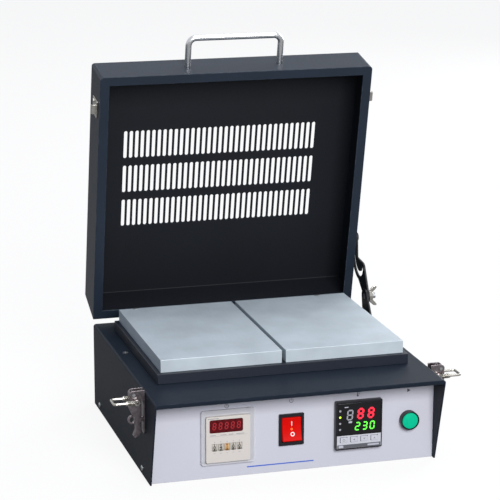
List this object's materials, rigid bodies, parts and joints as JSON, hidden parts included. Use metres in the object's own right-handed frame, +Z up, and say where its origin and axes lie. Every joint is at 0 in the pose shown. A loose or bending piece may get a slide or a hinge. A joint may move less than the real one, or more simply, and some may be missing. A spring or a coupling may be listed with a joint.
{
  "type": "benchtop reflow oven",
  "caption": "Benchtop reflow oven with flush heating plates in a low sheet-steel case, a hinged slotted lid held by a slotted stay, side draw latches and a recessed control panel.",
  "frame": {"origin": "middle of the case's underside, where it rests on the bench", "axes": "+X the operator's right, +Y from the front lip to the back panel, +Z up"},
  "size_m": [0.3566, 0.329, 0.4015],
  "materials": {
    "case_black": "satin powder coat",
    "panel_grey": "fine satin powder coat",
    "collar_black": "satin powder coat",
    "plate_aluminium": "milled and oxidised",
    "mica": "pressed mica sheet",
    "zinc_steel": "zinc plated sheet",
    "steel_bright": "bright steel",
    "nickel": "nickel plated",
    "stainless_satin": "satin stainless",
    "fibre": "ceramic fibre blanket",
    "cream_plastic": "moulded",
    "clear_frame": "translucent moulded",
    "red_window": "tinted filter",
    "black_plastic": "moulded",
    "black_lens": "polished filter",
    "silver_film": "silver key film",
    "red_rocker": "translucent moulded",
    "green_lens": "moulded lens",
    "hinge_black": "black finished steel"
  },
  "bodies": {
    "base": {"chassis": "panel_grey", "front_panel": "panel_grey", "back_panel": "panel_grey", "outer_cover": "case_black", "heater_collar": "collar_black", "heating_plate_left": "plate_aluminium", "heating_plate_right": "plate_aluminium", "heater_elements": "mica", "clamp_plates": "zinc_steel", "clamp_studs": "steel_bright", "heater_tray": "zinc_steel", "insulation_pad": "fibre", "plate_clips": "steel_bright", "thermocouple": "steel_bright", "case_screws": "steel_bright", "timer_case": "cream_plastic", "timer_guard": "clear_frame", "timer_window": "red_window", "rocker_housing": "black_plastic", "controller_case": "black_plastic", "controller_lens": "black_lens", "key_strip": "silver_film", "button_bezel": "black_plastic", "button_nut": "black_plastic", "contact_block": "black_plastic", "latch_base_left": "nickel", "latch_base_right": "nickel", "latch_pins": "steel_bright", "stay_bracket": "hinge_black", "stay_bolt": "steel_bright", "hinge_base_leaves": "hinge_black", "hinge_pins": "steel_bright", "relay": "black_plastic", "terminal_block": "cream_plastic", "cable_gland": "black_plastic", "gland_nut": "black_plastic"},
    "lid": {"lid_shell": "case_black", "lid_handle": "stainless_satin", "handle_nuts": "steel_bright", "latch_keepers": "nickel", "hinge_lid_leaves": "hinge_black", "stay_rivet": "hinge_black"},
    "stay": {"stay_arm": "hinge_black"},
    "wing_nut": {"wing_nut": "nickel"},
    "wheel_1": {"timer_wheel_1": "cream_plastic"},
    "wheel_2": {"timer_wheel_2": "cream_plastic"},
    "wheel_3": {"timer_wheel_3": "cream_plastic"},
    "wheel_4": {"timer_wheel_4": "cream_plastic"},
    "wheel_5": {"timer_wheel_5": "cream_plastic"},
    "rocker": {"rocker": "red_rocker"},
    "key_1": {"controller_key_1": "silver_film"},
    "key_2": {"controller_key_2": "silver_film"},
    "key_3": {"controller_key_3": "silver_film"},
    "key_4": {"controller_key_4": "silver_film"},
    "start": {"start_button": "green_lens"},
    "lever_left": {"latch_lever_left": "nickel"},
    "lever_right": {"latch_lever_right": "nickel"},
    "loop_left": {"latch_loop_left": "nickel", "latch_springs_left": "steel_bright"},
    "loop_right": {"latch_loop_right": "nickel", "latch_springs_right": "steel_bright"}
  },
  "joints": [
    {"name": "lid_hinge", "type": "hinge", "parent": "base", "child": "lid", "pos_m": [0, 0.146, 0.0903], "axis": [1, 0, 0], "range_deg": [0, 77.8]},
    {"name": "stay_swing", "type": "hinge", "parent": "base", "child": "stay", "pos_m": [0.1493, 0.1025, 0.109], "axis": [1, 0, 0], "range_deg": [0, 128.5]},
    {"name": "wing_nut_turn", "type": "hinge", "parent": "base", "child": "wing_nut", "pos_m": [0.153, 0.1025, 0.109], "axis": [1, 0, 0], "range_deg": [0, 360]},
    {"name": "rocker_tilt", "type": "hinge", "parent": "base", "child": "rocker", "pos_m": [-0.0034, -0.113, 0.043], "axis": [1, 0, 0], "range_deg": [0, 18]},
    {"name": "start_press", "type": "slide", "parent": "base", "child": "start", "axis": [0, 1, 0], "range_m": [0, 0.0025], "stiffness_N_per_m": 400},
    {"name": "wheel_1_turn", "type": "hinge", "parent": "base", "child": "wheel_1", "pos_m": [-0.0823, -0.114, 0.033], "axis": [1, 0, 0], "continuous": true},
    {"name": "wheel_2_turn", "type": "hinge", "parent": "base", "child": "wheel_2", "pos_m": [-0.07605, -0.114, 0.033], "axis": [1, 0, 0], "continuous": true},
    {"name": "wheel_3_turn", "type": "hinge", "parent": "base", "child": "wheel_3", "pos_m": [-0.0698, -0.114, 0.033], "axis": [1, 0, 0], "continuous": true},
    {"name": "wheel_4_turn", "type": "hinge", "parent": "base", "child": "wheel_4", "pos_m": [-0.06355, -0.114, 0.033], "axis": [1, 0, 0], "continuous": true},
    {"name": "wheel_5_turn", "type": "hinge", "parent": "base", "child": "wheel_5", "pos_m": [-0.0573, -0.114, 0.033], "axis": [1, 0, 0], "continuous": true},
    {"name": "key_1_press", "type": "slide", "parent": "base", "child": "key_1", "axis": [0, 1, 0], "range_m": [0, 0.0006], "stiffness_N_per_m": 800},
    {"name": "key_2_press", "type": "slide", "parent": "base", "child": "key_2", "axis": [0, 1, 0], "range_m": [0, 0.0006], "stiffness_N_per_m": 800},
    {"name": "key_3_press", "type": "slide", "parent": "base", "child": "key_3", "axis": [0, 1, 0], "range_m": [0, 0.0006], "stiffness_N_per_m": 800},
    {"name": "key_4_press", "type": "slide", "parent": "base", "child": "key_4", "axis": [0, 1, 0], "range_m": [0, 0.0006], "stiffness_N_per_m": 800},
    {"name": "lever_left_swing", "type": "hinge", "parent": "base", "child": "lever_left", "pos_m": [-0.157, -0.0955, 0.087], "axis": [0, 1, 0], "range_deg": [0, 120]},
    {"name": "loop_left_swing", "type": "hinge", "parent": "lever_left", "child": "loop_left", "pos_m": [-0.1545, -0.0955, 0.08], "axis": [0, -1, 0], "range_deg": [-96, 60]},
    {"name": "lever_right_swing", "type": "hinge", "parent": "base", "child": "lever_right", "pos_m": [0.157, -0.0955, 0.087], "axis": [0, -1, 0], "range_deg": [0, 120]},
    {"name": "loop_right_swing", "type": "hinge", "parent": "lever_right", "child": "loop_right", "pos_m": [0.1545, -0.0955, 0.08], "axis": [0, 1, 0], "range_deg": [-96, 60]}
  ],
  "couplings": [
    {"joint": "stay_swing", "follows": "lid_hinge", "ratio": 1.6452}
  ]
}
